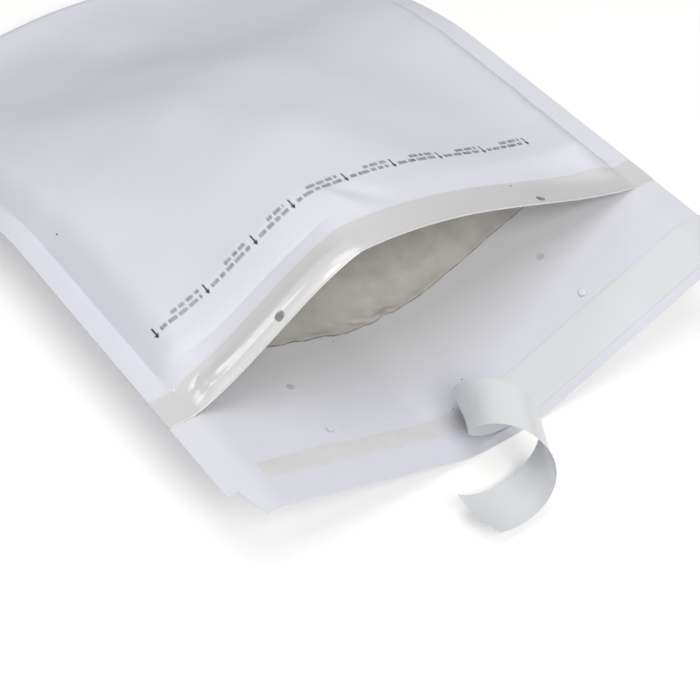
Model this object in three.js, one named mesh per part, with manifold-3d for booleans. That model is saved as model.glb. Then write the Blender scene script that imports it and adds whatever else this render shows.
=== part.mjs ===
// A padded mailing envelope, open and lying on its back panel, in millimetres.
//
// X runs across the envelope and Y from the mouth to the folded bottom end. The front panel's edge at the
// mouth, the lip, is at Y = 0, and the closing flap reaches the other way. The origin is on the underside of
// the back panel, midway across, under the lip. Z is up, and the envelope rests on Z = 0.

import * as THREE from 'three';
import { mergeVertices } from 'three/addons/utils/BufferGeometryUtils.js';
import Module from 'manifold-3d';

const wasm = await Module();
wasm.setup();

// The folded paper
const envelopeWidth = 240;
const envelopeLength = 275;
const flapReach = 50.8;
const seamWidth = 9;
const paperThickness = 0.4;

// The flap's cut corners: a step, then a slanted edge
const shoulderReach = 37.2;
const shoulderStep = 4.4;
const cornerInset = 7.5;

// The trough that the back panel and the flap lie in, and where it flattens toward the bottom end
const troughAngle = THREE.MathUtils.degToRad(21.8);
const restStripWidth = 12;
const troughBend = 19.3;
const seamBend = 6;
const flatteningStart = 110;
const flatEndLength = 13;

// The raised mouth, its crest left of the middle, and the padded body behind it
const crestHeight = 75;
const crestOffset = -32;
const crestDepth = 30;
const padHeight = 11;
const padEdge = 14;
const padStart = 4;
const padFull = 27;
const foldRound = 8;

// The bubble film inside the paper
const filmThickness = 3;
const filmSetback = 28.5;
const filmFrontSetback = 24.5;
const filmSideGap = 2;
const filmEdgeSeal = 6.5;

// The glossy strip over the lip
const lipFilmWidth = 14;
const lipFilmThickness = 0.3;

// The adhesive on the flap and its release strip, peeled from the left
const adhesiveStart = 28.6;
const adhesiveWidth = 9;
const adhesiveLength = 206;
const adhesiveThickness = 0.3;
const stripStart = 26.7;
const stripWidth = 20;
const stripThickness = 0.4;
const stripSteps = 72;
const shoulderRun = 0.2;
const peelPlace = 15.6;
const peelAngle = THREE.MathUtils.degToRad(27.9);

// The radii that the peeled part bends to at the peel line, halfway and at its free end. The smaller the lean
// radius, the more the bend gathers toward the peel line.
const curlStartRadius = 67.1;
const curlMiddleRadius = 13.53;
const curlEndRadius = 71.9;
const curlLeanRadius = 11.4;

// The holes punched through both panels, and the half-moon cuts in the flap
const holeRadius = 1.9;
const holeSpacing = 126.4;
const lipHoleInset = 4;
const lipHoleShift = -4.7;
const backHoleInset = 4.3;
const halfMoonReach = 21.3;
const halfMoonSlit = 0.9;
const halfMoonTurn = THREE.MathUtils.degToRad(-35);
const cutterSides = 16;

// Layers that lie on each other keep this clearance, and the pocket's cut starts this far in front of the lip
const layerGap = 0.3;
const mouthClearance = 4;

// Points closer than this are one point, and no station comes closer than this to the adhesive's end
const mergeDistance = 1e-4;
const endMargin = 2;

const halfWidth = envelopeWidth / 2;
const peeledLength = halfWidth + peelPlace;
const seamInner = halfWidth - seamWidth;
const seamLayers = 2 * paperThickness;

const smooth = (t) => {
  const u = THREE.MathUtils.clamp(t, 0, 1);
  return u * u * (3 - 2 * u);
};
const ramp = (value, start, end) => THREE.MathUtils.clamp((value - start) / (end - start), 0, 1);

// The share of the trough that is left at a distance from the mouth: one at the mouth, none at the end.
function troughShare(y) {
  return 1 - smooth(ramp(y, flatteningStart, envelopeLength - flatEndLength));
}

// How far the sheet has bent from level toward the flank's full slope, at a distance from the middle.
function bendShare(distance) {
  return ramp(distance, restStripWidth / 2, restStripWidth / 2 + troughBend);
}

// The underside of the back panel, at a distance across the sheet: level, an arc, a straight flank, an arc back,
// and the level seam. The distance is walked in short steps, so that the sheet keeps its width.
function backPoint(across, y) {
  const slope = troughAngle * troughShare(y);
  const distance = Math.abs(across);
  const steps = Math.max(1, Math.ceil(distance));
  const step = distance / steps;
  let x = 0;
  let z = 0;
  for (let i = 0; i < steps; i += 1) {
    const place = (i + 0.5) * step;
    const levelling = ramp(place, seamInner - seamBend, seamInner);
    const angle = slope * bendShare(place) * (1 - levelling);
    x += Math.cos(angle) * step;
    z += Math.sin(angle) * step;
  }
  return { x: Math.sign(across) * x, z };
}

// The lip's rise over the seams, from none to one. The left flank is straight and steep, the right one is round.
function lipShape(across) {
  if (across < crestOffset) {
    const t = ramp(across, -seamInner, crestOffset);
    return (smooth(t) + t) / 2;
  }
  const t = 1 - ramp(across, crestOffset, seamInner);
  return (smooth(t) + Math.sin((t * Math.PI) / 2)) / 2;
}

// The top of the front panel: over the seam it lies on the back panel, and between the seams the raised mouth
// and the padding add up as the two sides of a right angle do, so that the padding shows most beside the seams.
function frontHeight(across, y) {
  const seamTop = backPoint(halfWidth, y).z + seamLayers;
  const inward = seamInner - Math.abs(across);
  if (inward <= 0) return backPoint(across, y).z + seamLayers;
  const mouthRise = crestHeight - backPoint(halfWidth, 0).z - seamLayers;
  const falling = 1 - smooth(ramp(y, crestDepth, envelopeLength - flatEndLength));
  const swelling = smooth(ramp(y, padStart, padFull));
  const rounding = Math.sqrt(1 - (1 - ramp(envelopeLength - y, 0, foldRound)) ** 2);
  const edge = Math.sin((ramp(inward, 0, padEdge) * Math.PI) / 2);
  const lift = mouthRise * falling * lipShape(across);
  return seamTop + Math.hypot(lift, padHeight * swelling * edge) * rounding;
}

// Stations across the sheet, closest beside the seams, and those where the film's layers end.
const ascending = (values) => [...values].sort((a, b) => a - b);
const filmOuterEdge = seamInner - filmSideGap;
const filmInnerEdge = filmOuterEdge - filmEdgeSeal;
const openShares = [0.14, 0.225, 0.34, 0.46, 0.58, 0.69, 0.78, 0.86];
const sideStations = ascending([
  restStripWidth / 2,
  ...openShares.map((share) => share * seamInner),
  filmInnerEdge,
  (filmInnerEdge + filmOuterEdge) / 2,
  filmOuterEdge,
  seamInner,
]);
const innerStations = ascending([...sideStations.map((across) => -across), 0, ...sideStations]);

// Rows along the envelope: those where the pieces at the mouth end, then even ones, then those round the fold.
const foldStart = envelopeLength - foldRound;
const evenRows = 9;
const foldTurns = [0.2, 0.4, 0.6, 0.8, 1];
const bodyRows = [
  ...ascending([
    0,
    lipFilmWidth / 2,
    lipFilmWidth,
    filmFrontSetback,
    filmSetback,
    ...Array.from({ length: evenRows }, (_, i) => filmSetback + ((i + 1) / evenRows) * (foldStart - filmSetback)),
  ]),
  ...foldTurns.map((turn) => foldStart + foldRound * Math.sin((turn * Math.PI) / 2)),
];

// The place of a row for a piece inside the paper: round the fold it is drawn in by the piece's own inset.
function drawnIn(y, inset) {
  return y <= foldStart ? y : foldStart + ((y - foldStart) * (foldRound - inset)) / foldRound;
}

// Joins two equal grids of points, the lower and the upper side of a piece, into one closed solid.
function solidBetween(lower, upper) {
  const rows = lower.length;
  const columns = lower[0].length;
  const positions = [...lower.flat(2), ...upper.flat(2)];
  const below = (j, i) => j * columns + i;
  const above = (j, i) => rows * columns + j * columns + i;
  const triangles = [];
  const quad = (a, b, c, d) => triangles.push(a, b, c, a, c, d);
  for (let j = 0; j < rows - 1; j += 1) {
    for (let i = 0; i < columns - 1; i += 1) {
      quad(below(j, i), below(j + 1, i), below(j + 1, i + 1), below(j, i + 1));
      quad(above(j, i), above(j, i + 1), above(j + 1, i + 1), above(j + 1, i));
    }
    quad(below(j, 0), above(j, 0), above(j + 1, 0), below(j + 1, 0));
    const last = columns - 1;
    quad(below(j, last), below(j + 1, last), above(j + 1, last), above(j, last));
  }
  for (let i = 0; i < columns - 1; i += 1) {
    const last = rows - 1;
    quad(below(0, i), below(0, i + 1), above(0, i + 1), above(0, i));
    quad(below(last, i), above(last, i), above(last, i + 1), below(last, i + 1));
  }
  const geometry = new THREE.BufferGeometry();
  geometry.setAttribute('position', new THREE.Float32BufferAttribute(positions, 3));
  geometry.setIndex(triangles);
  return solidOf(geometry);
}

// Turns a closed geometry into a solid that can be joined and cut. Triangles that shrink to a line are left out.
function solidOf(geometry) {
  const bare = geometry.clone();
  bare.deleteAttribute('normal');
  bare.deleteAttribute('uv');
  const merged = mergeVertices(bare, mergeDistance);
  const index = merged.index.array;
  const kept = [];
  for (let i = 0; i < index.length; i += 3) {
    const [a, b, c] = [index[i], index[i + 1], index[i + 2]];
    if (a !== b && b !== c && c !== a) kept.push(a, b, c);
  }
  const vertProperties = new Float32Array(merged.attributes.position.array);
  return new wasm.Manifold(new wasm.Mesh({ numProp: 3, vertProperties, triVerts: new Uint32Array(kept) }));
}

function geometryOf(solid) {
  const { vertProperties, triVerts } = solid.getMesh();
  const geometry = new THREE.BufferGeometry();
  geometry.setAttribute('position', new THREE.Float32BufferAttribute(vertProperties, 3));
  geometry.setIndex([...triVerts]);
  geometry.computeVertexNormals();
  return geometry;
}

// The space between the back and the front panel, drawn in from both by an inset, over some stations and rows.
// Its first row is set for the lower and the upper side separately, because the film's layers start apart.
function spaceBetweenPanels(stations, lowerStart, upperStart, rows, inset) {
  const lower = [lowerStart, ...rows].map((y) => stations.map((across) => {
    const { x, z } = backPoint(across, y);
    return [x, drawnIn(y, inset), z + inset];
  }));
  const upper = [upperStart, ...rows].map((y) => stations.map((across) => {
    const { x } = backPoint(across, y);
    return [x, drawnIn(y, inset), frontHeight(across, y) - inset];
  }));
  return solidBetween(lower, upper);
}

// A thin layer on the back panel or the flap, between two heights over its underside.
function layerOnBack(stations, rows, from, to) {
  const at = (height) => rows.map((y) => stations.map((across) => {
    const { x, z } = backPoint(across, y);
    return [x, y, z + height];
  }));
  return solidBetween(at(from), at(to));
}

// An upright cutter, round, that starts and ends at two heights.
function roundCutter(across, y, radius, bottom, top) {
  const cylinder = new THREE.CylinderGeometry(radius, radius, top - bottom, cutterSides);
  cylinder.rotateX(Math.PI / 2);
  cylinder.translate(backPoint(across, y).x, y, (bottom + top) / 2);
  return solidOf(cylinder);
}

const holeSides = [-holeSpacing / 2, holeSpacing / 2];

// Cuts the pair of holes through the front panel and whatever lies on it. The crest is left of the middle, and
// has drawn the lifted panel's holes that way.
function withLipHoles(solid) {
  return holeSides.reduce((cut, side) => {
    const across = side + lipHoleShift;
    const top = frontHeight(across, lipHoleInset);
    const middle = (top + backPoint(across, lipHoleInset).z) / 2;
    return cut.subtract(roundCutter(across, lipHoleInset, holeRadius, middle, top + crestHeight));
  }, solid);
}

// Cuts the pair of holes through the back panel.
function withBackHoles(solid) {
  return holeSides.reduce((cut, across) => {
    const bottom = backPoint(across, backHoleInset).z;
    const middle = (bottom + frontHeight(across, backHoleInset)) / 2;
    return cut.subtract(roundCutter(across, backHoleInset, holeRadius, bottom - crestHeight, middle));
  }, solid);
}

// Cuts the half-moon slits into the flap: the part of a hole that a second hole leaves, which is shifted
// toward the side where the tongue still holds.
function withHalfMoons(solid) {
  return holeSides.reduce((cut, across) => {
    const hole = roundCutter(across, -halfMoonReach, holeRadius, -crestHeight, crestHeight);
    const besideHole = across + halfMoonSlit * Math.cos(halfMoonTurn);
    const alongHole = -halfMoonReach + halfMoonSlit * Math.sin(halfMoonTurn);
    const tongue = roundCutter(besideHole, alongHole, holeRadius, -crestHeight, crestHeight);
    return cut.subtract(hole.subtract(tongue));
  }, solid);
}

// How far the flap's side, and the strip that was cut with it, lies inside the envelope's side.
function sideInset(y) {
  if (y > -shoulderReach) return 0;
  return shoulderStep + (cornerInset - shoulderStep) * ramp(-y, shoulderReach, flapReach);
}

// The material beside one end of the flap: past the shoulder the side steps in and then runs on a slant.
function flapCornerCutter(side) {
  const edge = backPoint(halfWidth, -flapReach).x;
  const outline = new THREE.Shape([
    new THREE.Vector2(side * (edge + cornerInset), -shoulderReach),
    new THREE.Vector2(side * (edge - shoulderStep), -shoulderReach),
    new THREE.Vector2(side * (edge - cornerInset), -flapReach),
    new THREE.Vector2(side * (edge - cornerInset), -flapReach - cornerInset),
    new THREE.Vector2(side * (edge + cornerInset), -flapReach - cornerInset),
  ]);
  const prism = new THREE.ExtrudeGeometry(outline, { depth: 2 * crestHeight, bevelEnabled: false });
  prism.translate(0, 0, -crestHeight);
  return solidOf(prism);
}

// The paper: the whole outer form with the flap, less the pocket between the panels, which opens at the mouth.
function envelopePaper() {
  const stations = [-halfWidth, ...innerStations, halfWidth];
  const flapRows = [-flapReach, -shoulderReach, -stripStart, -stripStart / 2, 0];
  const outerRows = [...flapRows, ...bodyRows];
  const lower = outerRows.map((y) => stations.map((across) => {
    const { x, z } = backPoint(across, y);
    return [x, y, z];
  }));
  const upper = outerRows.map((y, j) => stations.map((across) => {
    const { x, z } = backPoint(across, y);
    const onFlap = j < flapRows.length;
    return [x, y, onFlap ? z + paperThickness : frontHeight(across, y)];
  }));
  const outer = solidBetween(lower, upper);

  // In front of the lip the pocket is lifted clear of the flap, so that it cuts only the front panel's end.
  const pocketStart = -mouthClearance;
  const pocketSide = (heightOf) => [pocketStart, ...bodyRows].map((y) => innerStations.map((across) => {
    const row = Math.max(y, 0);
    const lift = y < 0 ? mouthClearance : 0;
    return [backPoint(across, row).x, y < 0 ? y : drawnIn(y, paperThickness), heightOf(across, row) + lift];
  }));
  const pocket = solidBetween(
    pocketSide((across, y) => backPoint(across, y).z + paperThickness),
    pocketSide((across, y) => frontHeight(across, y) - paperThickness),
  );
  const shell = outer.subtract(pocket);
  const trimmed = shell.subtract(flapCornerCutter(-1)).subtract(flapCornerCutter(1));
  return withHalfMoons(withBackHoles(withLipHoles(trimmed)));
}

// The bubble film: one sheet folded at the bottom end and pressed together along its sides. Its inner space
// ends one row before its outer form, so that the fold keeps about the film's thickness.
function bubbleLiner() {
  const outerInset = paperThickness + layerGap;
  const innerInset = outerInset + filmThickness;
  const within = (edge) => innerStations.filter((across) => Math.abs(across) <= edge);
  const outerRows = bodyRows.filter((y) => y > filmSetback).slice(0, -2);
  const innerRows = outerRows.slice(0, -1);
  const outer = spaceBetweenPanels(within(filmOuterEdge), filmSetback, filmFrontSetback, outerRows, outerInset);
  const inner = spaceBetweenPanels(
    within(filmInnerEdge),
    filmSetback - filmThickness,
    filmFrontSetback - filmThickness,
    innerRows,
    innerInset,
  );
  return outer.subtract(inner);
}

// The glossy strip that covers the outside of the lip from seam edge to seam edge.
function lipFilm() {
  const stations = [-halfWidth, ...innerStations, halfWidth];
  const rows = bodyRows.filter((y) => y <= lipFilmWidth);
  const at = (height) => rows.map((y) => stations.map((across) => {
    const { x } = backPoint(across, y);
    return [x, y, frontHeight(across, y) + height];
  }));
  return withLipHoles(solidBetween(at(layerGap), at(layerGap + lipFilmThickness)));
}

function flapAdhesive() {
  const reach = adhesiveLength / 2;
  const stations = [-reach, ...innerStations.filter((across) => Math.abs(across) < reach - endMargin), reach];
  const rows = [-adhesiveStart - adhesiveWidth, -adhesiveStart];
  const from = paperThickness + layerGap;
  return layerOnBack(stations, rows, from, from + adhesiveThickness);
}

// The slope of the trough's side at the flap, at a distance across the sheet.
function flankAngle(across) {
  return Math.sign(across) * troughAngle * bendShare(Math.abs(across));
}

// How sharply the peeled strip bends, as one over a radius, at a share of its peeled length.
function curlBend(share) {
  const [start, end] = [1 / curlStartRadius, 1 / curlEndRadius];
  const swell = 4 * (1 / curlMiddleRadius - (start + end) / 2) * share * (1 - share);
  const lean = (share * (1 - share) * (1 - 2 * share)) / curlLeanRadius;
  return start + (end - start) * share + swell + lean;
}

// A point of the release strip: a length along it from the middle of the peel line, positive on the peeled
// side, and a distance across it, positive toward the flap's edge. On the attached side the strip follows the
// flap. Past the slanted peel line it winds round an axis along that line: it bends more and more up to the
// middle of the curl and is nearly straight at its free end. The direction of its outer side comes with it.
function stripPoint(along, across) {
  const round = along * Math.cos(peelAngle) - across * Math.sin(peelAngle);
  const sideways = along * Math.sin(peelAngle) + across * Math.cos(peelAngle);
  const middle = -stripStart - stripWidth / 2;
  const base = paperThickness + layerGap + adhesiveThickness + layerGap;
  if (round <= 0) {
    const y = middle - across;
    const flat = backPoint(peelPlace - along, y);
    return { point: new THREE.Vector3(flat.x, y, flat.z + base), outward: new THREE.Vector3(0, 0, 1) };
  }
  const onLineX = peelPlace - sideways * Math.sin(peelAngle);
  const onLineY = middle - sideways * Math.cos(peelAngle);
  const onLine = backPoint(onLineX, onLineY);
  const steps = Math.max(1, Math.ceil(round));
  const step = round / steps;
  let ahead = 0;
  let up = 0;
  let turned = -flankAngle(onLineX) * Math.cos(peelAngle);
  for (let i = 0; i < steps; i += 1) {
    const bend = curlBend(((i + 0.5) * step) / peeledLength);
    turned += (bend * step) / 2;
    ahead += Math.cos(turned) * step;
    up += Math.sin(turned) * step;
    turned += (bend * step) / 2;
  }
  const x = onLine.x - ahead * Math.cos(peelAngle);
  const y = onLineY + ahead * Math.sin(peelAngle);
  const z = onLine.z + base + up;
  const outward = new THREE.Vector3(
    Math.sin(turned) * Math.cos(peelAngle),
    -Math.sin(turned) * Math.sin(peelAngle),
    Math.cos(turned),
  );
  return { point: new THREE.Vector3(x, y, z), outward };
}

// The release strip as one band with a thickness. It was cut with the flap, so that both its ends have the
// outline of the flap's sides, with the shoulder as a step across the band.
function releaseStrip() {
  const attachedLength = halfWidth - peelPlace;
  const middle = -stripStart - stripWidth / 2;
  const shoulder = shoulderReach + middle;
  const acrossPlaces = [stripWidth / 2, shoulder + shoulderRun, shoulder, 0, -stripWidth / 2];
  const shares = Array.from({ length: stripSteps + 1 }, (_, i) => (2 * i) / stripSteps - 1);
  const side = (height) => shares.map((share) => acrossPlaces.map((across) => {
    const reach = share < 0 ? attachedLength : peeledLength;
    const inset = across > shoulder ? sideInset(middle - across) : 0;
    const { point, outward } = stripPoint(share * (reach - inset), across);
    return point.addScaledVector(outward, height).toArray();
  }));
  return solidBetween(side(0), side(stripThickness));
}

const envelope = new THREE.Group();

function addPiece(name, solid, color, roughness) {
  const material = new THREE.MeshStandardMaterial({ color, roughness, metalness: 0 });
  const mesh = new THREE.Mesh(geometryOf(solid), material);
  mesh.name = name;
  envelope.add(mesh);
}

addPiece('envelope_paper', envelopePaper(), '#eceef4', 0.85);
addPiece('bubble_liner', bubbleLiner(), '#cfcdc9', 0.3);
addPiece('lip_film', lipFilm(), '#e3e3e0', 0.3);
addPiece('flap_adhesive', flapAdhesive(), '#e9e8dc', 0.4);
addPiece('release_strip', releaseStrip(), '#dbe3de', 0.4);

export default envelope;
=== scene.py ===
"""The looks of an open padded mailing envelope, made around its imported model.

X runs across the envelope, Y from the mouth to the folded bottom end, and Z up. The lip of the front panel
is at Y = 0. Shapes are worked out in millimetres, and each mesh is brought to metres once, as it is made.
"""

import bpy
import numpy as np
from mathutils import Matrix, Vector


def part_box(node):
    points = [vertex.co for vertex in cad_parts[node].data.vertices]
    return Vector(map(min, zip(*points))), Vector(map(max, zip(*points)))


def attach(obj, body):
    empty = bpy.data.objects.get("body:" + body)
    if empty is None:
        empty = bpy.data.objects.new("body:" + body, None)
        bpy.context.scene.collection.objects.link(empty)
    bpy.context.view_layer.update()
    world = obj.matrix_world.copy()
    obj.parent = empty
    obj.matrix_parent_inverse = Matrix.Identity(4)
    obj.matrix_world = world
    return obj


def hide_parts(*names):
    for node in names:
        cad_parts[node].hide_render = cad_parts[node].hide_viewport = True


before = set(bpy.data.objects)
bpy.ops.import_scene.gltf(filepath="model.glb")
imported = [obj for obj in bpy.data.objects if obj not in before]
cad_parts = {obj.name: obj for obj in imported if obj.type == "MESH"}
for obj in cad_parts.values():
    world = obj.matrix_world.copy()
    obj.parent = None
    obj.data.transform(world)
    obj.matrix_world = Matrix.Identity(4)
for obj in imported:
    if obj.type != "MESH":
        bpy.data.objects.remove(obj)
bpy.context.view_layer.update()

# Envelope paper
# One sheet of white paper, folded at the bottom end and glued along both sides. The back panel lies in a
# shallow trough and runs out as the flap, which was cut to its outline. The front panel is lifted at the
# mouth. Round holes were punched near the mouth and in the flap.
MILLIMETRE = 0.001
paper_low, paper_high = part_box("envelope_paper")
length = paper_high.y / MILLIMETRE
flap_reach = -paper_low.y / MILLIMETRE
half_width = 120.0
seam_inner = 111.0
paper_thickness = 0.25
seam_layers = 0.65
trough_angle = np.radians(21.8)
rest_half = 6.0
trough_bend = 19.3
seam_bend = 6.0
flattening_start = 110.0
flat_end = length - 13.0
crest_height = 75.0
crest_offset = -32.0
crest_depth = 30.0
pad_height = 11.0
pad_edge = 14.0
pad_start = 4.0
pad_full = 27.0
fold_round = 8.0
back_wave_height = 0.35
back_wave_start = 16.0
back_wave_full = 45.0
back_wave_edge = 16.0
front_wave_height = 1.15
front_wave_start = 22.0
front_wave_full = 60.0
front_wave_edge = 18.0
left_flank_start = -110.0
left_flank_full = -96.0
left_flank_fade = -46.0
left_flank_end = -26.0
rolled_height = 2.1
rolled_width = 4.0
valley_start = 7.0
valley_place = 21.0
valley_end = 37.0
valley_depth = 4.4
valley_return = 2.3
crease_height = 0.25
crease_reach = 0.7
crease_corner = 0.15
crumple_height = 0.16
crumple_place = -97.0
crumple_row = 8.0
crest_mark_height = 0.7
crest_mark_slant = 0.5
crest_mark_place = -9.0
crest_mark_row = 27.0
crest_dent_depth = 0.8
crest_dent_slant = 0.8
crest_dent_place = 7.2
crest_dent_row = 25.0
pucker_height = 0.16
pucker_inset = 9.0
pucker_start = 2.0
pucker_full = 24.0
shoulder = 37.2
shoulder_step = 4.4
slant_step = 3.1
slant_hollow = 1.3


def ramp(value, start, end):
    """None at the start, one at the end and straight in between."""
    return np.clip((np.asarray(value, float) - start) / (end - start), 0, 1)


def smooth(share):
    """The share with soft ends: three of its squares less two of its cubes."""
    return share * share * (3 - 2 * share)


def bent_ramp(value, start, end, corner):
    """A straight ramp from none to one whose two corners are hyperbolas of that size."""
    near, far = np.hypot(value - start, corner), np.hypot(value - end, corner)
    return 0.5 + (near - far) / 2 / (end - start)


def hump(value, middle, reach):
    """A soft rise of one, falling to none over about twice the reach."""
    return np.exp(-((value - middle) / reach) ** 2)


def arc_run(run, start, end):
    """How far a line of that length goes ahead and up while its slope turns evenly from start to end.
    That is along the chord, whose length is the run times the sine of half the turn over half the turn,
    and whose slope is the mean of both slopes."""
    chord = run * np.sinc((end - start) / 2 / np.pi)
    return chord * np.cos((start + end) / 2), chord * np.sin((start + end) / 2)


def soft_waves(across, y, seed, shortest, longest, count=12):
    """Irregular soft waves between about minus one and one: a sum of cosines in seeded directions, the
    longer ones stronger."""
    draws = np.random.default_rng(seed)
    total = np.zeros(np.broadcast(across, y).shape)
    lengths = np.linspace(shortest, longest, count)
    for wave in lengths:
        heading, phase = draws.uniform(0, 2 * np.pi, 2)
        along_wave = across * np.cos(heading) + y * np.sin(heading)
        total += wave * np.cos(along_wave * 2 * np.pi / wave + phase)
    return total / np.sqrt((lengths ** 2).sum())


def trough_place(across, y):
    """The underside of the back panel: level in the middle, then an arc, a straight flank, an arc back
    and the level seam. The flank's slope fades toward the bottom end."""
    across, y = np.broadcast_arrays(np.asarray(across, float), np.asarray(y, float))
    slope = trough_angle * (1 - smooth(ramp(y, flattening_start, flat_end)))
    distance = np.abs(across)
    bend_end = rest_half + trough_bend
    bend_run = np.clip(distance - rest_half, 0, trough_bend)
    flank_run = np.clip(distance - bend_end, 0, seam_inner - seam_bend - bend_end)
    back_run = np.clip(distance - seam_inner + seam_bend, 0, seam_bend)
    level_run = np.minimum(distance, rest_half) + np.clip(distance - seam_inner, 0, None)
    bend_x, bend_z = arc_run(bend_run, 0, slope * bend_run / trough_bend)
    back_x, back_z = arc_run(back_run, slope, slope * (1 - back_run / seam_bend))
    x = level_run + bend_x + flank_run * np.cos(slope) + back_x
    return np.sign(across) * x, bend_z + flank_run * np.sin(slope) + back_z


def back_panel(across, y):
    """The trough with the faint waves of a sheet that has been handled, none of them where it rests or
    along its seams."""
    x, z = trough_place(across, y)
    distance = np.abs(across)
    loose = smooth(ramp(distance, back_wave_start, back_wave_full))
    loose = loose * smooth(ramp(seam_inner - distance, 0, back_wave_edge))
    return x, z + back_wave_height * loose * (1 + soft_waves(across, y, seed=5, shortest=38, longest=95)) / 2


def lip_shape(across):
    """The lip's rise, from none at the seams to one at the crest. The left flank is nearly straight, and
    the right one is round."""
    left = ramp(across, -seam_inner, crest_offset)
    right = 1 - ramp(across, crest_offset, seam_inner)
    return np.where(across < crest_offset, (smooth(left) + left) / 2,
                    (smooth(right) + np.sin(np.pi / 2 * right)) / 2)


def front_details(across, y):
    """What the plain padded form lacks, as heights that are added up: on the left flank the rolled edge
    and the valley behind it with its sharp crease, then the crumples near the left corner, a mark and a
    dent beside the crest, the puckers along the seams and the waves of the loose panel."""
    inward = seam_inner - np.abs(across)
    free = smooth(ramp(inward, 0, front_wave_edge))
    left = smooth(ramp(across, left_flank_start, left_flank_full))
    left = left * (1 - smooth(ramp(across, left_flank_fade, left_flank_end)))
    rolled = rolled_height * (1 - (1 - ramp(y, 0, rolled_width)) ** 2)
    valley = (valley_depth * bent_ramp(y, valley_start, valley_place, crease_corner)
              - valley_return * bent_ramp(y, valley_place, valley_end, crease_corner)
              + crease_height * hump(y, valley_place, crease_reach))
    crumples = crumple_height * hump(across, crumple_place, reach=9) * hump(y, crumple_row, reach=5)
    crumples = crumples * soft_waves(across, y, seed=17, shortest=4.5, longest=9)
    crest_mark = hump(across + crest_mark_slant * y, crest_mark_place, reach=3.2)
    crest_mark = crest_mark_height * crest_mark * hump(y, crest_mark_row, reach=8)
    crest_dent = hump(across + crest_dent_slant * y, crest_dent_place, reach=5)
    crest_dent = crest_dent_depth * crest_dent * hump(y, crest_dent_row, reach=7)
    puckers = pucker_height * hump(inward, pucker_inset, reach=7)
    puckers = puckers * smooth(ramp(y, pucker_start, pucker_full))
    puckers = puckers * soft_waves(0 * across, y + 40 * np.sign(across), seed=11, shortest=9, longest=26)
    waves = front_wave_height * smooth(ramp(y, front_wave_start, front_wave_full))
    waves = waves * soft_waves(across, y, seed=3, shortest=42, longest=120)
    return left * (rolled - valley) + crumples + puckers + free * (crest_mark - crest_dent + waves)


def front_panel(across, y):
    """The top of the front panel. It lies on the back panel along the seams. Between them the raised
    mouth and the padding add up to the root of the sum of their squares, so that the padding shows most
    at the seams."""
    across, y = np.broadcast_arrays(np.asarray(across, float), np.asarray(y, float))
    x, z = back_panel(across, y)
    seam_top = trough_place(np.full_like(y, half_width), y)[1] + seam_layers
    mouth_rise = crest_height - trough_place(half_width, 0)[1] - seam_layers
    inward = seam_inner - np.abs(across)
    lift = mouth_rise * (1 - smooth(ramp(y, crest_depth, flat_end))) * lip_shape(across)
    pad = pad_height * smooth(ramp(y, pad_start, pad_full)) * np.sin(np.pi / 2 * ramp(inward, 0, pad_edge))
    rounding = np.sqrt(1 - (1 - ramp(length - y, 0, fold_round)) ** 2)
    top = seam_top + (np.hypot(lift, pad) + front_details(across, y)) * rounding
    return x, np.where(inward <= 0, z + seam_layers, np.maximum(top, seam_top))


def grid_points(surface, across, y):
    """Points of a surface over a grid of places, as rows along Y and columns along X."""
    x, z = surface(across, y)
    return np.stack([x, np.broadcast_to(y, x.shape), z], -1)


def grid_normals(points):
    """The unit direction that columns crossed with rows give at each point of a grid."""
    normal = np.cross(np.gradient(points, axis=1), np.gradient(points, axis=0))
    return normal / np.linalg.norm(normal, axis=-1, keepdims=True)


def closed_sheet(name, over, under):
    """One closed piece between two equal grids. The first is the side that columns crossed with rows
    point to, and a rim joins their edges. The faces are those of the first grid, the second grid and the
    rim."""
    rows, columns = over.shape[:2]
    index = np.arange(rows * columns).reshape(rows, columns)
    below = index + rows * columns
    top = np.stack([index[:-1, :-1], index[:-1, 1:], index[1:, 1:], index[1:, :-1]], -1).reshape(-1, 4)
    bottom = np.stack([below[:-1, :-1], below[1:, :-1], below[1:, 1:], below[:-1, 1:]], -1).reshape(-1, 4)
    loop = np.concatenate([index[0, :-1], index[:-1, -1], index[-1, :0:-1], index[:0:-1, 0]])
    ahead = np.roll(loop, -1)
    lower = rows * columns
    rim = np.stack([loop, loop + lower, ahead + lower, ahead], -1)
    points = np.concatenate([over.reshape(-1, 3), under.reshape(-1, 3)]) * MILLIMETRE
    return mesh_piece(name, points, np.concatenate([top, bottom, rim]))


def mesh_piece(name, points, faces):
    """A named piece with soft shading and sharp edges at its rims, its place in its mesh."""
    mesh = bpy.data.meshes.new(name)
    mesh.from_pydata(points.tolist(), [], faces.tolist())
    mesh.validate()
    mesh.shade_smooth()
    mesh.set_sharp_from_angle(angle=np.radians(50))
    piece = bpy.data.objects.new(name, mesh)
    bpy.context.scene.collection.objects.link(piece)
    return piece


def flap_inset(y):
    """How far the flap's side lies inside the envelope's: none, then a step at the shoulder, then a
    slant that is slightly hollow, as a power of its share."""
    slanted = ramp(-y, shoulder, flap_reach)
    return np.where(y < -shoulder, shoulder_step + slant_step * slanted ** slant_hollow, 0)


def spaced(start, end, spacing):
    """Even places from start up to, but without, the end."""
    return np.linspace(start, end, max(2, round(abs(end - start) / spacing)), endpoint=False)


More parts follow.
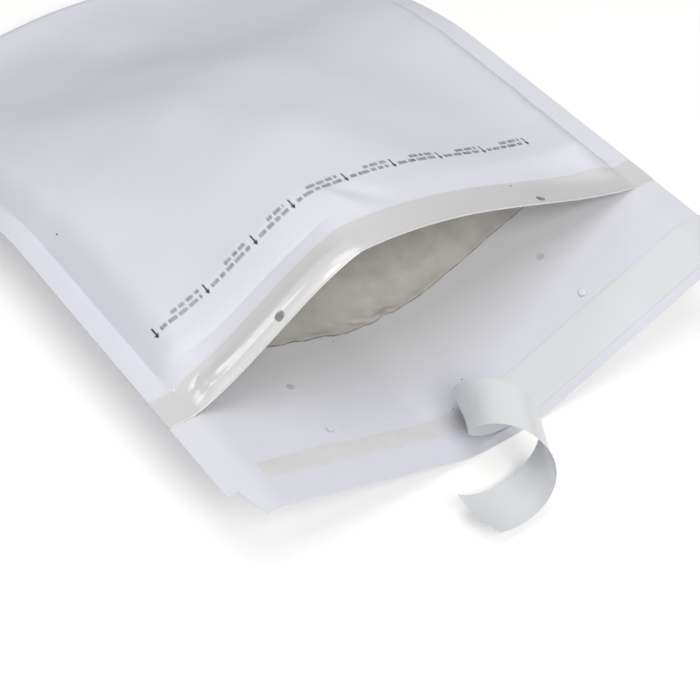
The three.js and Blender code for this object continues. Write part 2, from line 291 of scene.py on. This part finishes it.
# The grid is finest at the lip, where the rolled edge and the crease are, and closer at the seams.
seam_columns = 98.0
marks_end = 48.0
crease_end = 26.0
mouth_end = 36.0
row_before_shoulder = -shoulder - 0.05
column_places = np.concatenate([
    spaced(-half_width, -seam_columns, 1.0),
    spaced(-seam_columns, seam_columns, 1.65),
    spaced(seam_columns, half_width, 1.0),
    [half_width],
])
back_rows = np.concatenate([
    spaced(-flap_reach, row_before_shoulder, 1.5),
    [row_before_shoulder],
    spaced(-shoulder, 0, 1.6),
    spaced(0, mouth_end, 1.6),
    spaced(mouth_end, length - 4, 4.2),
    [length - 2],
])
round_turn = np.linspace(np.pi / 2 - 0.12, 0, 9)
front_rows = np.concatenate([
    length - fold_round * (1 - np.sin(round_turn)),
    spaced(length - fold_round - 2, marks_end, 3.0),
    spaced(marks_end, crease_end, 1.05),
    spaced(crease_end, 0, 0.56),
    [0.0],
])

seam_share = ramp(np.abs(column_places), seam_inner, half_width)
back_across = column_places - np.sign(column_places) * seam_share * flap_inset(back_rows[:, None])
back_grid = grid_points(back_panel, back_across, back_rows[:, None])
front_grid = grid_points(front_panel, column_places[None, :], front_rows[:, None])
fold_turn = np.linspace(0, np.pi, 7)[1:-1, None]
fold_radius = seam_layers / 2
fold_x = np.broadcast_to(front_grid[0, None, :, 0], (len(fold_turn), len(column_places)))
fold_y = length - fold_radius + fold_radius * np.sin(fold_turn) + 0 * fold_x
fold_z = back_grid[-1, None, :, 2] + fold_radius * (1 - np.cos(fold_turn)) + 0 * fold_x
outside = np.concatenate([back_grid, np.stack([fold_x, fold_y, fold_z], -1), front_grid])
inside = outside + paper_thickness * grid_normals(outside)
paper = closed_sheet("paper_envelope", inside, outside)
inner_faces = (inside.shape[0] - 1) * (inside.shape[1] - 1)
inner_side = np.zeros(len(paper.data.polygons), int)
inner_side[:inner_faces] = 1
paper.data.polygons.foreach_set("material_index", inner_side)

hole_radius = 1.75
hole_sides = 28
hole_places = (-63.2, 63.2)
lip_hole_shift = -4.7
lip_hole_inset = 3.1
back_hole_inset = 4.3
half_moon_reach = 21.3


def hole_cutter(across, y, surface, reach):
    """An upright prism with many sides, which reaches as far above one panel as below it and cuts a round
    hole."""
    x, z = surface(across, y)
    bpy.ops.mesh.primitive_cylinder_add(
        vertices=hole_sides,
        radius=hole_radius * MILLIMETRE,
        depth=2 * reach * MILLIMETRE,
        location=(x * MILLIMETRE, y * MILLIMETRE, z * MILLIMETRE),
    )
    return bpy.context.object


def lip_cutters():
    """The cutters for the two holes near the front panel's edge."""
    return [hole_cutter(place + lip_hole_shift, lip_hole_inset, front_panel, reach=5)
            for place in hole_places]


def cut_holes(piece, cutters):
    """Takes the cutters out of the piece and keeps the result as its mesh, without materials but with each
    face's number for one."""
    for tool in cutters:
        modifier = piece.modifiers.new("hole", "BOOLEAN")
        modifier.object = tool
        modifier.solver = "EXACT"
    graph = bpy.context.evaluated_depsgraph_get()
    cut_mesh = bpy.data.meshes.new_from_object(piece.evaluated_get(graph))
    finish_index = np.zeros(len(cut_mesh.polygons), int)
    cut_mesh.polygons.foreach_get("material_index", finish_index)
    cut_mesh.materials.clear()
    cut_mesh.polygons.foreach_set("material_index", finish_index)
    piece.modifiers.clear()
    piece.data = cut_mesh
    for tool in cutters:
        bpy.data.objects.remove(tool)


back_cutters = [hole_cutter(place, y, back_panel, reach=3)
                for y in (back_hole_inset, -half_moon_reach) for place in hole_places]
cut_holes(paper, lip_cutters() + back_cutters)


def new_group(name, inputs, outputs):
    """A shader node group with number inputs and named outputs."""
    group = bpy.data.node_groups.new(name, "ShaderNodeTree")
    for label, value in inputs.items():
        socket = group.interface.new_socket(label, in_out="INPUT", socket_type="NodeSocketFloat")
        socket.default_value = value
    for label, kind in outputs.items():
        group.interface.new_socket(label, in_out="OUTPUT", socket_type=kind)
    return group, group.nodes.new("NodeGroupInput"), group.nodes.new("NodeGroupOutput")


def math_node(tree, operation, first, second):
    """A math node whose inputs are sockets or plain numbers."""
    node = tree.nodes.new("ShaderNodeMath")
    node.operation = operation
    for socket, value in zip(node.inputs, (first, second)):
        if isinstance(value, (int, float)):
            socket.default_value = value
        else:
            tree.links.new(value, socket)
    return node.outputs[0]


def surface_grain():
    """The group that all the finishes share. It puts out a cloud mask for colour, and a height for bump
    that adds a fine grain and a share of a coarser one."""
    group, given, result = new_group(
        "surface grain",
        {"Fine scale": 1600.0, "Coarse scale": 260.0, "Cloud scale": 22.0, "Coarse share": 0.5},
        {"Cloud": "NodeSocketFloat", "Height": "NodeSocketFloat"},
    )
    place = group.nodes.new("ShaderNodeTexCoord").outputs["Object"]
    fields = {}
    for label in ("Fine", "Coarse", "Cloud"):
        noise = group.nodes.new("ShaderNodeTexNoise")
        noise.inputs["Detail"].default_value = 3.0
        group.links.new(place, noise.inputs["Vector"])
        group.links.new(given.outputs[f"{label} scale"], noise.inputs["Scale"])
        fields[label] = noise.outputs["Fac"]
    coarse = math_node(group, "MULTIPLY", fields["Coarse"], given.outputs["Coarse share"])
    group.links.new(math_node(group, "ADD", fields["Fine"], coarse), result.inputs["Height"])
    group.links.new(fields["Cloud"], result.inputs["Cloud"])
    return group


grain_group = surface_grain()


def srgb(red, green, blue):
    """A colour given in the 0 to 255 of a screen, as the linear numbers that a shader takes."""
    level = np.array([red, green, blue]) / 255
    linear = np.where(level <= 0.04045, level / 12.92, ((level + 0.055) / 1.055) ** 2.4)
    return (*linear.tolist(), 1.0)


def finish(name, light, dark, roughness, bump, coat=0.0, coat_roughness=0.1, scales=None):
    """A finish whose colour wanders between a light and a dark tone with the cloud, and whose bump is
    the grain's height, with a clear coat where the real surface has one."""
    material = bpy.data.materials.new(name)
    material.use_nodes = True
    tree = material.node_tree
    shader = tree.nodes["Principled BSDF"]
    shader.inputs["Roughness"].default_value = roughness
    shader.inputs["Coat Weight"].default_value = coat
    shader.inputs["Coat Roughness"].default_value = coat_roughness
    grain = tree.nodes.new("ShaderNodeGroup")
    grain.node_tree = grain_group
    for label, value in (scales or {}).items():
        grain.inputs[label].default_value = value
    blend = tree.nodes.new("ShaderNodeMix")
    blend.data_type = "RGBA"
    blend.inputs["A"].default_value = dark
    blend.inputs["B"].default_value = light
    spread = tree.nodes.new("ShaderNodeMapRange")
    spread.inputs["From Min"].default_value = 0.3
    spread.inputs["From Max"].default_value = 0.7
    tree.links.new(grain.outputs["Cloud"], spread.inputs["Value"])
    tree.links.new(spread.outputs["Result"], blend.inputs["Factor"])
    tree.links.new(blend.outputs["Result"], shader.inputs["Base Color"])
    relief = tree.nodes.new("ShaderNodeBump")
    relief.inputs["Strength"].default_value = bump
    relief.inputs["Distance"].default_value = 0.0002
    tree.links.new(grain.outputs["Height"], relief.inputs["Height"])
    tree.links.new(relief.outputs["Normal"], shader.inputs["Normal"])
    return material


def turn_inward(material, tone, start, end):
    """Lets a finish turn to another tone with the depth behind the mouth, between two places along Y."""
    tree = material.node_tree
    shader = tree.nodes["Principled BSDF"]
    split = tree.nodes.new("ShaderNodeSeparateXYZ")
    tree.links.new(tree.nodes.new("ShaderNodeTexCoord").outputs["Object"], split.inputs["Vector"])
    depth = tree.nodes.new("ShaderNodeMapRange")
    depth.inputs["From Min"].default_value = start * MILLIMETRE
    depth.inputs["From Max"].default_value = end * MILLIMETRE
    tree.links.new(split.outputs["Y"], depth.inputs["Value"])
    blend = tree.nodes.new("ShaderNodeMix")
    blend.data_type = "RGBA"
    blend.inputs["B"].default_value = tone
    tree.links.new(depth.outputs["Result"], blend.inputs["Factor"])
    tree.links.new(shader.inputs["Base Color"].links[0].from_socket, blend.inputs["A"])
    tree.links.new(blend.outputs["Result"], shader.inputs["Base Color"])


# The uncoated paper is slightly blue from its brightener. Its inner side turns less blue deeper in the
# pocket, which is a painted shade tint.
paper_light = srgb(222, 223, 232)
paper_dark = srgb(217, 218, 228)
painted_shade_paper = srgb(221, 222, 225)
paper_finish = finish("white envelope paper", paper_light, paper_dark, roughness=0.78, bump=0.35)
inner_finish = finish("inner side of the paper", paper_light, paper_dark, roughness=0.78, bump=0.35)
# Painted shade: the inner side's colour turns to a less blue tone behind the mouth.
turn_inward(inner_finish, painted_shade_paper, start=-16, end=14)
paper.data.materials.append(paper_finish)
paper.data.materials.append(inner_finish)
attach(paper, "root")
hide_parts("envelope_paper")

# Chads
# The punch left three round chads of paper hanging by one point of their edge: one bent down in the left
# hole of the back panel, and two that are nearly closed in the half-moon cuts of the flap.
chad_play = 0.1
chad_arch = 0.35
chad_hinge = np.radians(-35)


def chad(name, across, y, opening):
    """A punched disc that holds at one point of its edge and has swung round it. The distance from the
    hinge becomes a run ahead and a rise, in the shares that the opening's cosine and sine give."""
    turn = np.linspace(0, 2 * np.pi, hole_sides, endpoint=False)[None, :]
    radii = (hole_radius - chad_play) * np.linspace(0.02, 1, 5)[:, None]
    ahead = radii * np.cos(turn) + hole_radius
    aside = radii * np.sin(turn)
    rise = ahead * np.sin(opening) + chad_arch * np.sin(np.pi * ahead / 2 / hole_radius)
    from_hinge = ahead * np.cos(opening) - hole_radius
    place_x = across - from_hinge * np.cos(chad_hinge) + aside * np.sin(chad_hinge)
    place_y = y - from_hinge * np.sin(chad_hinge) - aside * np.cos(chad_hinge)
    x, z = back_panel(place_x, place_y)
    top = np.stack([x, place_y, z + paper_thickness + rise], -1)
    under = top - np.array([0, 0, paper_thickness * 0.8])
    around = np.concatenate([top, under[::-1]])
    rings, sides = around.shape[:2]
    index = np.arange(rings * sides).reshape(rings, sides)
    following = np.roll(index, -1, axis=1)
    walls = np.stack([index[:-1], index[1:], following[1:], following[:-1]], -1).reshape(-1, 4)
    return mesh_piece(name, around.reshape(-1, 3) * MILLIMETRE, walls)


for chad_name, chad_x, chad_y, chad_opening in (
    ("hanging_chad", hole_places[0], back_hole_inset, -0.72),
    ("half_moon_left", hole_places[0], -half_moon_reach, 0.16),
    ("half_moon_right", hole_places[1], -half_moon_reach, 0.2),
):
    tongue = chad(chad_name, chad_x, chad_y, chad_opening)
    tongue.data.materials.append(paper_finish)
    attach(tongue, "root")

# Opening marks
# A printed row runs along the mouth: arrows that point to the lip, and between them two lines of fine
# upright bars, in dark blue ink.
arrow_places = (-103.5, -79.5, -56.5, -38.5, -13.5, 8.5, 31.5, 55.0, 79.0)
arrow_tail = 37.6
arrow_tip = 32.4
arrow_head = 1.9
arrow_notch = 1.3
arrow_half = 1.0
barb_bend = 0.1
shaft_start = 1.2
shaft_half = 0.28
arrow_room = 4.5
line_end_gap = 2.2
narrowest_gap = 0.2
line_rows = (34.2, 36.9)
bar_height = 1.75
word_gap = 1.2
ink_height = 0.05
ink_sunk = 0.04
slope_step = 0.05


def ink_strokes(name, corners, surface=front_panel, lift=0.0):
    """Thin closed strokes of ink at a lift over a surface. Each is given by four corners, as places
    across and along it, and rises along the cross product of two short steps on the surface."""
    across, y = corners[..., 0], corners[..., 1]
    on_panel = grid_points(surface, across, y)
    beside = grid_points(surface, across + slope_step, y) - on_panel
    beyond = grid_points(surface, across, y + slope_step) - on_panel
    up = np.cross(beside, beyond)
    up /= np.linalg.norm(up, axis=-1, keepdims=True)
    points = np.stack([on_panel + (lift - ink_sunk) * up, on_panel + (lift + ink_height) * up], 1)
    points = points.reshape(-1, 3)
    box = np.array([[3, 2, 1, 0], [4, 5, 6, 7], [0, 1, 5, 4], [1, 2, 6, 5], [2, 3, 7, 6], [3, 0, 4, 7]])
    faces = (np.arange(len(corners))[:, None, None] * 8 + box).reshape(-1, 4)
    return mesh_piece(name, points * MILLIMETRE, faces)


def rectangle(low_across, high_across, low_y, high_y):
    """Four corners, counterclockwise from above."""
    return [(low_across, low_y), (high_across, low_y), (high_across, high_y), (low_across, high_y)]


def arrow_strokes(place):
    """A shaft in four lengths, so that it follows the panel, and a barbed head as two halves."""
    shaft_ends = np.linspace(arrow_tip + shaft_start, arrow_tail, 5)
    shaft = [rectangle(place - shaft_half, place + shaft_half, low, high)
             for low, high in zip(shaft_ends, shaft_ends[1:])]
    tip, notch = (place, arrow_tip), (place, arrow_tip + arrow_notch)
    barb_y = arrow_tip + arrow_head
    head_left = [(place - arrow_half, barb_y), (place - arrow_half / 2, barb_y - barb_bend), notch, tip]
    head_right = [tip, (place + arrow_half, barb_y), (place + arrow_half / 2, barb_y - barb_bend), notch]
    return shaft + [head_left, head_right]


def bar_strokes():
    """Groups of fine upright bars between neighbouring arrows, in two lines, with seeded widths and
    gaps."""
    draws = np.random.default_rng(21)
    strokes = []
    for start, end in zip(arrow_places, arrow_places[1:]):
        room = end - start - arrow_room
        for row, share in zip(line_rows, (1.0, draws.uniform(0.5, 0.72))):
            low, high = row - bar_height / 2, row + bar_height / 2
            place = end - line_end_gap - room * share
            group_left = draws.integers(4, 9)
            while place < end - line_end_gap - narrowest_gap:
                width = draws.uniform(0.17, 0.34)
                strokes.append(rectangle(place, place + width, low, high))
                group_left -= 1
                gap = draws.uniform(0.24, 0.4)
                if group_left == 0:
                    gap = word_gap
                    group_left = draws.integers(4, 9)
                place += width + gap
    return strokes


mark_corners = np.array([stroke for place in arrow_places for stroke in arrow_strokes(place)])
arrows = ink_strokes("opening_arrows", mark_corners)
bars = ink_strokes("opening_bars", np.array(bar_strokes()))
arrow_ink = finish("dark printing ink", srgb(52, 54, 66), srgb(40, 42, 54), roughness=0.6, bump=0.1)
bar_ink = finish("fine printing ink", srgb(58, 62, 80), srgb(46, 50, 68), roughness=0.6, bump=0.1)
for marks, ink in ((arrows, arrow_ink), (bars, bar_ink)):
    marks.data.materials.append(ink)
    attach(marks, "root")

# Specks
# Recycled fibre leaves a few dark specks, on the front panel and its glossy lip and on the inner side of
# the back panel. Those in front are lifted clear of the lip film.
speck_half = 0.24
speck_lift = 0.2
front_speck_places = ((-106, 104), (50.5, 12.5))
back_speck_places = ((-7.5, -27.5), (4.5, -17.5), (-27, 24.5))


def speck_strokes(places):
    """A small square for each place."""
    return np.array([rectangle(across - speck_half, across + speck_half, y - speck_half, y + speck_half)
                     for across, y in places])


front_specks = ink_strokes("front_specks", speck_strokes(front_speck_places), lift=speck_lift)
back_specks = ink_strokes("back_specks", speck_strokes(back_speck_places), back_panel, lift=paper_thickness)
for specks in (front_specks, back_specks):
    specks.data.materials.append(arrow_ink)
    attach(specks, "root")

# Bubble film
# One sheet of bubble film, folded with the paper and sealed along its sides. Its flat side is the inside
# of the pocket, and the bubbles stand against the paper. It is cut straight a little behind the mouth,
# where it is slightly crumpled. Its rim is painted dark all round, as painted shade for the shadowed cut
# face and the gap under it.
film_thickness = 3.0
film_skin = 0.35
film_back_start = 26.6
film_front_start = 24.5
film_side = seam_inner - 2.0
film_seal = 6.5
film_gap = 0.35
film_end = length - 5.5
film_fold_reach = 8.0
cut_share = 0.12
cut_swell = 45.0
cut_rise = 0.55
cut_waves = 0.3
cut_reach = 3.0
cut_crumples = 0.2
crumples_middle = -8.0
crumples_reach = 34.0
dimple_depth = 0.08
bubble_fill = 0.98
bubble_pitch = 10.5
bubble_radius = 4.6


def bubble_height(across, along):
    """Round bubbles with flat tops in staggered rows: the root of one less the cube of the distance from
    the bubble's middle, as a share of its radius."""
    row_pitch = bubble_pitch * np.sqrt(3) / 2
    row = np.round(along / row_pitch)
    shift = np.where(np.mod(row, 2) == 1, bubble_pitch / 2, 0)
    aside = across - shift - bubble_pitch * np.round((across - shift) / bubble_pitch)
    distance = np.hypot(aside, along - row * row_pitch) / bubble_radius
    return np.sqrt(np.clip(1 - distance ** 3, 0, 1))


film_columns = np.linspace(-film_side, film_side, 190)
cut_rows_end = 37.0
film_back_rows = np.concatenate([
    spaced(film_back_start, cut_rows_end, 0.55),
    spaced(cut_rows_end, film_end, 2.1),
    [film_end],
])
film_front_rows = np.concatenate([spaced(film_end, film_front_start, 2.1), [film_front_start]])


def film_faces(surface, rows):
    """The film's flat face and, behind it, its bubbled face, on one panel. Both stand off the panel
    toward the pocket. The film is thin at its seals, its fold and its cut, and the bubbles grow with its
    thickness. At the cut it rises in waves and is crumpled in the middle, and over each bubble it dips
    slightly."""
    across, y = film_columns[None, :], rows[:, None]
    panel = grid_points(surface, across, y)
    toward_pocket = grid_normals(panel)
    start = rows.min()
    sealed = smooth(ramp(film_side - np.abs(across), 0, film_seal))
    opened = cut_share + (1 - cut_share) * smooth(ramp(y - start, 0, cut_swell))
    fullness = sealed * opened * smooth(ramp(film_end - y, 0, film_fold_reach))
    raised = cut_rise + cut_waves * soft_waves(across, 0 * across, seed=15, shortest=5, longest=16)
    raised = raised * hump(y, start, cut_reach)
    crumpled = hump(y, start + 2, reach=3.5) * hump(across, crumples_middle, crumples_reach)
    crumpled = cut_crumples * crumpled * soft_waves(across, y, seed=31, shortest=3.2, longest=7)
    depth = (film_thickness - film_skin) * fullness
    dimple = dimple_depth * bubble_height(across, y) * fullness
    bubbles = bubble_fill * bubble_height(across, y) * depth
    stand_off = paper_thickness + film_gap + film_skin + depth + raised + crumpled - dimple
    near = panel + toward_pocket * stand_off[..., None]
    far = near - toward_pocket * (film_skin + np.maximum(bubbles - dimple, 0))[..., None]
    return near, far


back_near, back_far = film_faces(back_panel, film_back_rows)
front_near, front_far = film_faces(front_panel, film_front_rows)
film_near = np.concatenate([back_near, front_near])
film_far = np.concatenate([back_far, front_far])
liner = closed_sheet("bubble_film", film_near, film_far)
film_light = srgb(226, 222, 218)
film_dark = srgb(208, 204, 199)
film_finish = finish("clear bubble film", film_light, film_dark, roughness=0.34, bump=0.2, coat=0.6,
                     coat_roughness=0.12, scales={"Cloud scale": 130.0})
# The rim's dark tones are painted shade for the shadowed cut face and the gap under the film.
painted_shade_rim_light = srgb(150, 148, 144)
painted_shade_rim_dark = srgb(104, 102, 98)
painted_shade_rim_finish = finish("bubble film rim with painted shade", painted_shade_rim_light, painted_shade_rim_dark, roughness=0.2, bump=0.9, coat=1.0,
                    coat_roughness=0.08, scales={"Cloud scale": 420.0})
liner.data.materials.append(film_finish)
liner.data.materials.append(painted_shade_rim_finish)
# All rim faces take the finish with painted shade.
faces_of_both_sides = 2 * (film_near.shape[0] - 1) * (film_near.shape[1] - 1)
is_rim = np.arange(len(liner.data.polygons)) >= faces_of_both_sides
liner.data.polygons.foreach_set("material_index", is_rim.astype(int))
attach(liner, "root")
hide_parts("bubble_liner")

# Lip film
# A strip of glossy film is laid over the front panel's edge and folded under it, from seam edge to seam
# edge. The two front holes were punched through it too.
lip_film_width = 14.0
lip_film_under = 5.0
lip_film_thickness = 0.12
lip_film_inset = 0.2
lip_gap = 0.04


def lip_section():
    """The strip's way over the edge: under the paper to its rim, round it in half a circle and out on
    top, as places along the panel and heights over its top."""
    low = -paper_thickness - lip_gap - lip_film_thickness
    middle = -paper_thickness / 2
    bend = middle - low
    turn = np.linspace(-np.pi / 2, np.pi / 2, 9)
    below = spaced(lip_film_under, 0, 0.8)
    above = np.concatenate([spaced(0.4, 5.5, 0.5), spaced(5.5, lip_film_width, 0.8), [lip_film_width]])
    along = np.concatenate([below, -bend * np.cos(turn), above])
    height = np.concatenate([
        np.full(len(below), low),
        middle + bend * np.sin(turn),
        np.full(len(above), lip_gap),
    ])
    return along[:, None], height[:, None]


lip_along, lip_height = lip_section()
lip_columns = column_places[None, :] * (1 - lip_film_inset / half_width)
lip_under = grid_points(front_panel, lip_columns, np.maximum(lip_along, 0))
lip_under[..., 1] += np.minimum(lip_along, 0)
lip_under[..., 2] += lip_height
lip_over = lip_under + lip_film_thickness * grid_normals(lip_under)
lip_strip = closed_sheet("lip_strip", lip_over, lip_under)
cut_holes(lip_strip, lip_cutters())
lip_light = srgb(216, 216, 218)
lip_dark = srgb(211, 211, 213)
lip_finish = finish("glossy lip film", lip_light, lip_dark, roughness=0.34, bump=0.12, coat=0.85,
                    coat_roughness=0.1)
lip_strip.data.materials.append(lip_finish)
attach(lip_strip, "root")
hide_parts("lip_film")

# Adhesive band
# A band of clear pressure-sensitive adhesive runs along the flap. It was laid by a nozzle, so that its
# edges wander slightly and are thinner than its middle.
adhesive_start = 28.6
adhesive_width = 9.0
adhesive_reach = 103.0
adhesive_thickness = 0.1
adhesive_edge_share = 0.2
adhesive_gap = 0.02
edge_wander = 0.35
adhesive_across = np.linspace(-adhesive_reach, adhesive_reach, 260)[None, :]
adhesive_share = np.linspace(0, 1, 9)[:, None]
far_wander = soft_waves(adhesive_across, 0 * adhesive_across, seed=8, shortest=7, longest=30)
near_wander = soft_waves(adhesive_across, 0 * adhesive_across, seed=9, shortest=7, longest=30)
far_edge = -adhesive_start + edge_wander * far_wander
near_edge = -adhesive_start - adhesive_width + edge_wander * near_wander
adhesive_y = near_edge + (far_edge - near_edge) * adhesive_share
adhesive_low = grid_points(back_panel, adhesive_across + 0 * adhesive_share, adhesive_y)
adhesive_low[..., 2] += paper_thickness + adhesive_gap
middle_share = np.sin(np.pi * adhesive_share) ** 0.3
adhesive_top = adhesive_low.copy()
adhesive_top[..., 2] += adhesive_thickness * (adhesive_edge_share + (1 - adhesive_edge_share) * middle_share)
adhesive = closed_sheet("adhesive_band", adhesive_top, adhesive_low)
adhesive_light = srgb(222, 222, 225)
adhesive_dark = srgb(218, 218, 220)
adhesive_finish = finish("clear adhesive", adhesive_light, adhesive_dark, roughness=0.4, bump=0.3, coat=0.2,
                         coat_roughness=0.2, scales={"Cloud scale": 120.0})
adhesive.data.materials.append(adhesive_finish)
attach(adhesive, "root")
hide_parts("flap_adhesive")

# Release strip
# A siliconed strip covers the adhesive. It was cut with the flap, so that its ends have the flap's
# outline with the notch of its shoulder. Its left half is peeled back and hangs in one curl over the
# flap's edge.
strip_start = 26.7
strip_width = 20.0
strip_middle = -strip_start - strip_width / 2
strip_thickness = 0.2
strip_base = 0.45
end_share = 0.86
notch_shift = 3.2
notch_shift_start = 0.5
notch_step = 0.12
peel_place = 15.6
peel_angle = np.radians(27.9)
curl_start_radius = 67.1
curl_middle_radius = 13.53
curl_end_radius = 71.9
curl_lean_radius = 11.4
peeled_length = half_width + peel_place


def curl_profile(run):
    """The curl's section before it is turned to its start slope: how far ahead and how far up it is at a
    distance past the peel line. Its bend, one over a radius, goes from the start to the end value, with
    a parabola added that gives the middle value, and a cubic that gathers it toward the peel line. The
    slope is the sum of the bends up to a place, and the place is the sum of the slope's cosines and
    sines."""
    places = np.linspace(0, peeled_length * 1.2, 2400)
    share = places / peeled_length
    ends = 1 / curl_start_radius + (1 / curl_end_radius - 1 / curl_start_radius) * share
    swell = 4 / curl_middle_radius - 2 / curl_start_radius - 2 / curl_end_radius
    bend = ends + share * (1 - share) * (swell + (1 - 2 * share) / curl_lean_radius)
    step = places[1]
    turned = np.concatenate([[0], np.cumsum((bend[1:] + bend[:-1]) / 2 * step)])
    middle = (turned[1:] + turned[:-1]) / 2
    ahead = np.concatenate([[0], np.cumsum(np.cos(middle) * step)])
    up = np.concatenate([[0], np.cumsum(np.sin(middle) * step)])
    return np.interp(run, places, ahead), np.interp(run, places, up)


def release_strip(along, sideways_place):
    """The strip's underside, by the place along it from the middle of the peel line and the place across
    it. Attached, it follows the flap. Past the slanted peel line it winds round an axis along that line,
    and it starts at the flap's own slope there."""
    round_run = along * np.cos(peel_angle) - sideways_place * np.sin(peel_angle)
    sideways = along * np.sin(peel_angle) + sideways_place * np.cos(peel_angle)
    flat_y = strip_middle - sideways_place
    flat_x, flat_z = back_panel(peel_place - along, flat_y)
    line_across = peel_place - sideways * np.sin(peel_angle)
    line_y = strip_middle - sideways * np.cos(peel_angle)
    line_x, line_z = trough_place(line_across, line_y)
    tilt_share = ramp(np.abs(line_across), rest_half, rest_half + trough_bend)
    flank = np.sign(line_across) * trough_angle * tilt_share
    start = -flank * np.cos(peel_angle)
    ahead, up = curl_profile(np.maximum(round_run, 0))
    run_ahead = ahead * np.cos(start) - up * np.sin(start)
    run_up = ahead * np.sin(start) + up * np.cos(start)
    curled = np.stack([line_x - run_ahead * np.cos(peel_angle), line_y + run_ahead * np.sin(peel_angle),
                       line_z + run_up], -1)
    flat = np.stack([flat_x, flat_y + 0 * flat_x, flat_z], -1)
    points = np.where((round_run <= 0)[..., None], flat, curled)
    points[..., 2] += strip_base
    return points


# The ends are drawn in along the strip, from the notch to its outer edge. The free end's notch is moved
# outward.
strip_shares = np.concatenate([spaced(-1, 0, 1 / 60), spaced(0, 1, 1 / 150), [1.0]])[None, :]
strip_half = strip_width / 2
notch_place = shoulder + strip_middle
notch_end = notch_place + notch_step
strip_across = np.concatenate([
    spaced(-strip_half, notch_place, 1.0),
    [notch_place],
    np.linspace(notch_end, strip_half, 9),
])[:, None]
strip_inset = np.where(strip_across > notch_place, flap_inset(strip_middle - strip_across), 0)
strip_reach = np.where(strip_shares < 0, half_width - peel_place, peeled_length)
strip_reach = strip_reach - strip_inset * smooth(ramp(np.abs(strip_shares), end_share, 1))
notch_nearness = np.interp(strip_across, [-strip_half, notch_place, notch_end, strip_half], [0, 1, 1, 0])
strip_shift = notch_shift * smooth(ramp(strip_shares, notch_shift_start, 1))
strip_place = strip_across + strip_shift * notch_nearness
strip_lower = release_strip(strip_shares * strip_reach, strip_place)
strip_upper = strip_lower + strip_thickness * grid_normals(strip_lower)
strip = closed_sheet("release_band", strip_upper, strip_lower)
strip_light = srgb(225, 227, 230)
strip_dark = srgb(221, 223, 227)
strip_finish = finish("siliconed release film", strip_light, strip_dark, roughness=0.34, bump=0.06, coat=0.6,
                      coat_roughness=0.16)
strip.data.materials.append(strip_finish)
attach(strip, "root")
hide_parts("release_strip")

# Floor
# A plain white studio floor. What the camera and the gloss see of it is lifted to white, and the
# object's soft shadow stays on it.
floor_width = 6.0
floor_drop = 0.0003
floor_grey = (0.86, 0.86, 0.86, 1)
floor_lift = 0.22
bpy.ops.mesh.primitive_plane_add(size=floor_width, location=(0, 0, -floor_drop))
floor = bpy.context.object
floor.name = "studio_floor"
floor_finish = bpy.data.materials.new("white floor")
floor_finish.use_nodes = True
floor_tree = floor_finish.node_tree
floor_shader = floor_tree.nodes["Principled BSDF"]
floor_shader.inputs["Base Color"].default_value = floor_grey
floor_shader.inputs["Roughness"].default_value = 0.9
floor_shader.inputs["Specular IOR Level"].default_value = 0.1
floor_shader.inputs["Emission Color"].default_value = (1, 1, 1, 1)
rays = floor_tree.nodes.new("ShaderNodeLightPath")
seen = math_node(floor_tree, "MAXIMUM", rays.outputs["Is Camera Ray"], rays.outputs["Is Glossy Ray"])
seen = math_node(floor_tree, "MAXIMUM", seen, rays.outputs["Is Transmission Ray"])
lift = math_node(floor_tree, "MULTIPLY", seen, floor_lift)
floor_tree.links.new(lift, floor_shader.inputs["Emission Strength"])
floor.data.materials.append(floor_finish)

# Studio light
# A dim even sky, a large soft box overhead, a faintly warm one high in front on the camera's side and a
# weak one from the right. A small one behind on the left draws the bright line on the glossy lip.
sky_strength = 0.27
light_target = Vector((0, 0.05, 0.03))
world = bpy.data.worlds.new("pale studio")
bpy.context.scene.world = world
world.use_nodes = True
sky = world.node_tree.nodes["Background"]
sky.inputs["Color"].default_value = (1, 1, 1, 1)
sky.inputs["Strength"].default_value = sky_strength


def soft_box(name, place, width, power, colour=(1, 1, 1)):
    """A square area lamp that faces the envelope."""
    lamp = bpy.data.lights.new(name, "AREA")
    lamp.shape = "SQUARE"
    lamp.size = width
    lamp.energy = power
    lamp.color = colour
    box = bpy.data.objects.new(name, lamp)
    box.location = place
    box.rotation_euler = (light_target - Vector(place)).to_track_quat("-Z", "Y").to_euler()
    bpy.context.scene.collection.objects.link(box)


soft_box("overhead_box", (0, 0, 1.6), width=1.0, power=8.4)
soft_box("front_box", (-0.3, -1.1, 1.2), width=0.8, power=15.5, colour=(1, 0.99, 0.95))
soft_box("right_box", (1.3, 0.2, 0.8), width=0.8, power=0.6)
soft_box("lip_box", (-0.87, 0.73, 1.03), width=0.3, power=1.5)

# Camera
# It stands in front on the left, at the place and turn that were fitted to the envelope's corners, seams
# and holes.
camera_data = bpy.data.cameras.new("photo_camera")
camera_data.sensor_width = 36.0
camera_data.lens = 87.91
camera_data.clip_start = 0.01
look_down = 46.805
look_right = 35.595
camera = bpy.data.objects.new("photo_camera", camera_data)
camera.location = (-0.28857, -0.35275, 0.48892)
camera.rotation_euler = (np.radians(90 - look_down), 0, np.radians(-look_right))
bpy.context.scene.collection.objects.link(camera)
bpy.context.scene.camera = camera
bpy.context.scene.view_settings.view_transform = "Standard"
